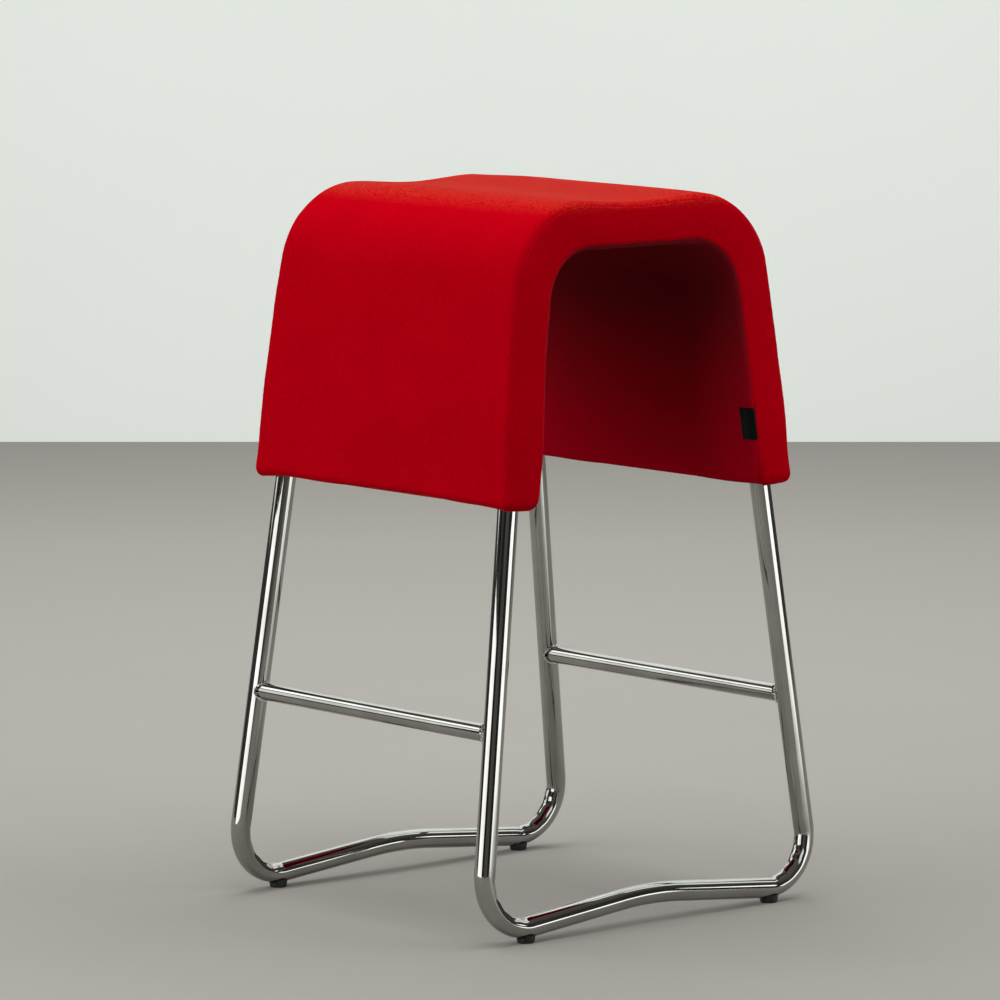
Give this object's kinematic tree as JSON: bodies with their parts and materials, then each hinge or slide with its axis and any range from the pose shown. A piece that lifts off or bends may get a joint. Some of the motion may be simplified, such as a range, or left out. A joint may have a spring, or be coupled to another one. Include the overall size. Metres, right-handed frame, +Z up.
{
  "type": "upholstered stool",
  "caption": "Counter-height stool: a felt-covered padded arch that serves as the seat, carried on chrome-plated bent tube legs with arched floor runners and a footrest bar on each side.",
  "frame": {"origin": "on the floor, under the middle of the seat, midway between the four glides", "axes": "+Z up; X runs across the arch, from one side panel to the other, and +X is the side with the label; Y runs through the arch, and -Y is the open end nearest the viewer in the picture (the front)"},
  "size_m": [0.4056, 0.372, 0.6575],
  "materials": {
    "chrome": "polished",
    "glide_plastic": "matte",
    "felt": "matte",
    "foam": "matte",
    "plywood": "satin",
    "zinc_steel": "satin",
    "label_weave": "matte"
  },
  "bodies": {
    "root": {"front_frame": "chrome", "rear_frame": "chrome", "footrest_left": "chrome", "footrest_right": "chrome", "footrest_welds": "chrome", "glide_front_left": "glide_plastic", "glide_front_right": "glide_plastic", "glide_rear_left": "glide_plastic", "glide_rear_right": "glide_plastic", "seat_shell": "plywood", "leg_bolts": "zinc_steel", "saddle_washers": "zinc_steel", "tee_nuts": "zinc_steel", "outer_pad": "foam", "inner_pad": "foam", "cover_outer": "felt", "cover_inner": "felt", "border_front": "felt", "border_rear": "felt", "hem_left": "felt", "hem_right": "felt", "blank_label": "label_weave"}
  },
  "joints": []
}
